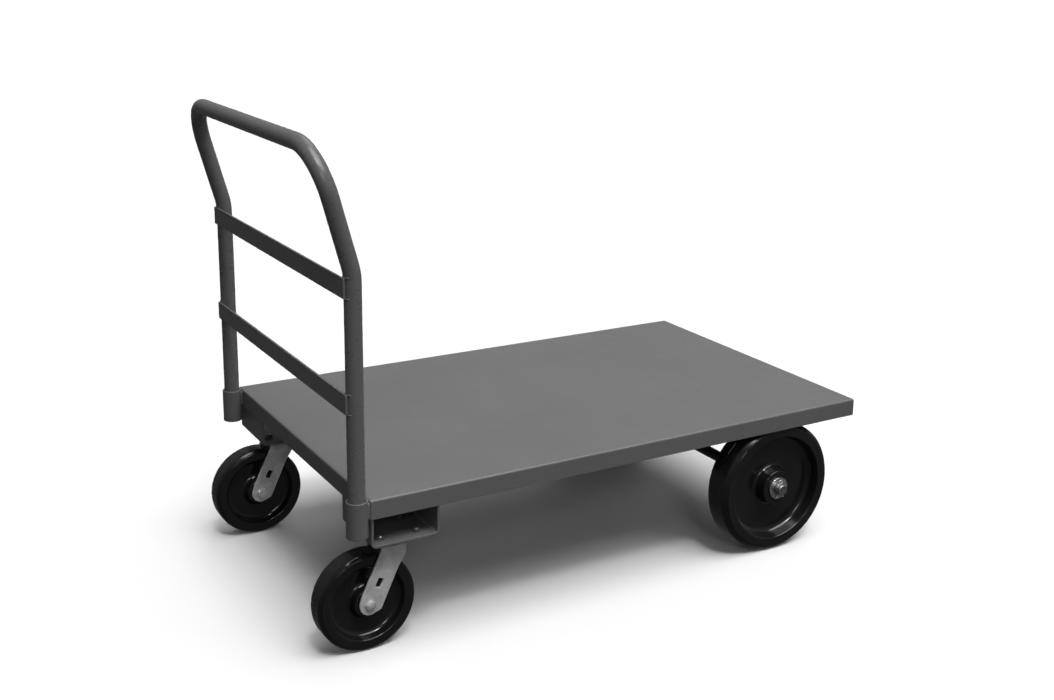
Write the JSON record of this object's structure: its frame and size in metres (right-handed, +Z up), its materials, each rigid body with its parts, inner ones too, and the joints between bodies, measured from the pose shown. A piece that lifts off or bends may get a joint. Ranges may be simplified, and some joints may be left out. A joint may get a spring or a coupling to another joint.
{
  "type": "platform cart",
  "caption": "Steel deck platform cart with a lift-out tube handle in end sockets, small swivel casters under the handle and large fixed wheels on a through axle.",
  "frame": {"origin": "on the floor, under the middle of the whole cart's box, handle at rest in its sockets", "axes": "+X runs from the handle end to the large wheels, +Y is the left side of somebody pushing at the handle, +Z is up"},
  "size_m": [1.3205, 0.79, 1.0178],
  "materials": {
    "deck_paint": "satin",
    "frame_paint": "satin",
    "handle_paint": "satin",
    "zinc": "satin",
    "hardware": "satin",
    "bearing_steel": "satin",
    "wheel_black": "gloss"
  },
  "bodies": {
    "chassis": {"deck_pan": "deck_paint", "deck_rib_front": "frame_paint", "deck_rib_rear": "frame_paint", "socket_right": "frame_paint", "socket_left": "frame_paint", "caster_channel_right": "frame_paint", "caster_channel_left": "frame_paint", "axle_hanger_right": "frame_paint", "axle_hanger_left": "frame_paint", "rear_axle": "hardware", "caster_plate_right": "zinc", "caster_plate_bolts_right": "hardware", "caster_plate_nuts_right": "hardware", "caster_kingpin_right": "zinc", "rear_washers_right": "hardware", "rear_cotter_right": "hardware", "caster_plate_left": "zinc", "caster_plate_bolts_left": "hardware", "caster_plate_nuts_left": "hardware", "caster_kingpin_left": "zinc", "rear_washers_left": "hardware", "rear_cotter_left": "hardware"},
    "handle": {"handle_tube": "handle_paint", "handle_bar_upper": "handle_paint", "handle_bar_lower": "handle_paint"},
    "caster_swivel_right": {"caster_fork_right": "zinc", "caster_balls_right": "hardware", "caster_axle_bolt_right": "hardware", "caster_axle_nut_right": "hardware", "caster_spanner_right": "hardware", "caster_washers_right": "hardware"},
    "caster_roller_right": {"caster_wheel_right": "wheel_black", "caster_bearing_right": "bearing_steel"},
    "rear_roller_right": {"rear_wheel_right": "wheel_black", "rear_bearing_right": "bearing_steel"},
    "caster_swivel_left": {"caster_fork_left": "zinc", "caster_balls_left": "hardware", "caster_axle_bolt_left": "hardware", "caster_axle_nut_left": "hardware", "caster_spanner_left": "hardware", "caster_washers_left": "hardware"},
    "caster_roller_left": {"caster_wheel_left": "wheel_black", "caster_bearing_left": "bearing_steel"},
    "rear_roller_left": {"rear_wheel_left": "wheel_black", "rear_bearing_left": "bearing_steel"}
  },
  "joints": [
    {"name": "handle_lift", "type": "slide", "parent": "chassis", "child": "handle", "axis": [0, 0, 1], "range_m": [0, 0.25]},
    {"name": "caster_turn_right", "type": "hinge", "parent": "chassis", "child": "caster_swivel_right", "pos_m": [-0.489, -0.313, 0.2185], "axis": [0, 0, 1], "continuous": true},
    {"name": "caster_roll_right", "type": "hinge", "parent": "caster_swivel_right", "child": "caster_roller_right", "pos_m": [-0.5482, -0.313, 0.1016], "axis": [0, 1, 0], "continuous": true},
    {"name": "rear_roll_right", "type": "hinge", "parent": "chassis", "child": "rear_roller_right", "pos_m": [0.4457, -0.33925, 0.1524], "axis": [0, 1, 0], "continuous": true},
    {"name": "caster_turn_left", "type": "hinge", "parent": "chassis", "child": "caster_swivel_left", "pos_m": [-0.489, 0.313, 0.2185], "axis": [0, 0, 1], "continuous": true},
    {"name": "caster_roll_left", "type": "hinge", "parent": "caster_swivel_left", "child": "caster_roller_left", "pos_m": [-0.5482, 0.313, 0.1016], "axis": [0, 1, 0], "continuous": true},
    {"name": "rear_roll_left", "type": "hinge", "parent": "chassis", "child": "rear_roller_left", "pos_m": [0.4457, 0.33925, 0.1524], "axis": [0, 1, 0], "continuous": true}
  ]
}
